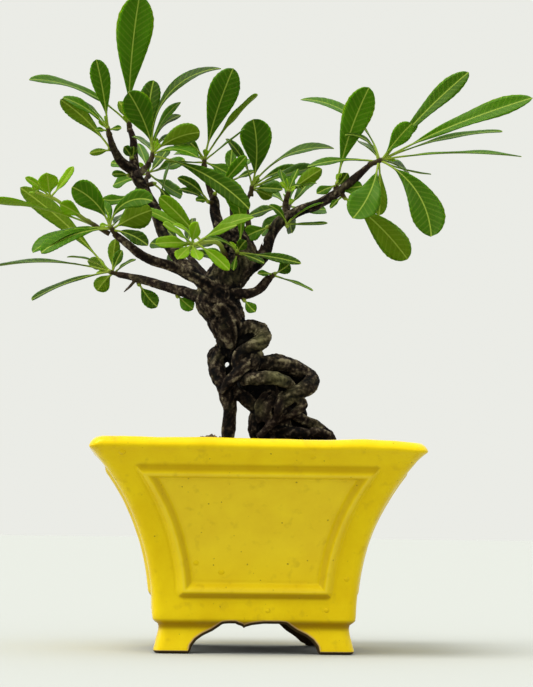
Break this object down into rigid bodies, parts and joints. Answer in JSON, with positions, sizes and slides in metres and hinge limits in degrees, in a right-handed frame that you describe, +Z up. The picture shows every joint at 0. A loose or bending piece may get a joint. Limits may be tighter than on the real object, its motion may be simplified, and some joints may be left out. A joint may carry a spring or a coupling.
{
  "type": "potted bonsai tree",
  "caption": "Small firethorn bonsai with an old trunk on twisted, coiled roots and long narrow leaves, in a square flared glazed pot with low bracket feet.",
  "frame": {"origin": "centre of the pot's square at table level, under the four feet", "axes": "+Z up; +X to the right and +Y away from the viewer, across the pot's faces"},
  "size_m": [0.2606, 0.151, 0.3138],
  "materials": {
    "glaze": "glossy yellow glaze over moulded stoneware, with small dark pits",
    "soil": "dark, damp, gritty potting mix",
    "bark": "rough dark brown bark with grey-green patches",
    "leaf": "leathery evergreen leaves, semi-gloss above and paler below"
  },
  "bodies": {
    "root": {"pot": "glaze", "soil": "soil", "wood": "bark", "leaves_back_left": "leaf", "leaves_back_right": "leaf", "leaves_back_top": "leaf", "leaves_between_forks": "leaf", "leaves_branch_under": "leaf", "leaves_branch_upper": "leaf", "leaves_crown": "leaf", "leaves_fork_low": "leaf", "leaves_fork_tip": "leaf", "leaves_front_shoot": "leaf", "leaves_hanging_left": "leaf", "leaves_hanging_middle": "leaf", "leaves_hanging_right": "leaf", "leaves_leader_back": "leaf", "leaves_leader_left": "leaf", "leaves_leader_right": "leaf", "leaves_leader_upright": "leaf", "leaves_left_node": "leaf", "leaves_left_shoot": "leaf", "leaves_lower_left": "leaf", "leaves_middle_front": "leaf", "leaves_middle_side": "leaf", "leaves_middle_top": "leaf", "leaves_right_inner": "leaf", "leaves_right_low": "leaf", "leaves_right_top": "leaf", "leaves_right_whorl": "leaf", "leaves_spur_tip": "leaf", "leaves_stub_tip": "leaf", "leaves_thin_top": "leaf", "leaves_trunk_front": "leaf", "leaves_twig": "leaf"}
  },
  "joints": []
}
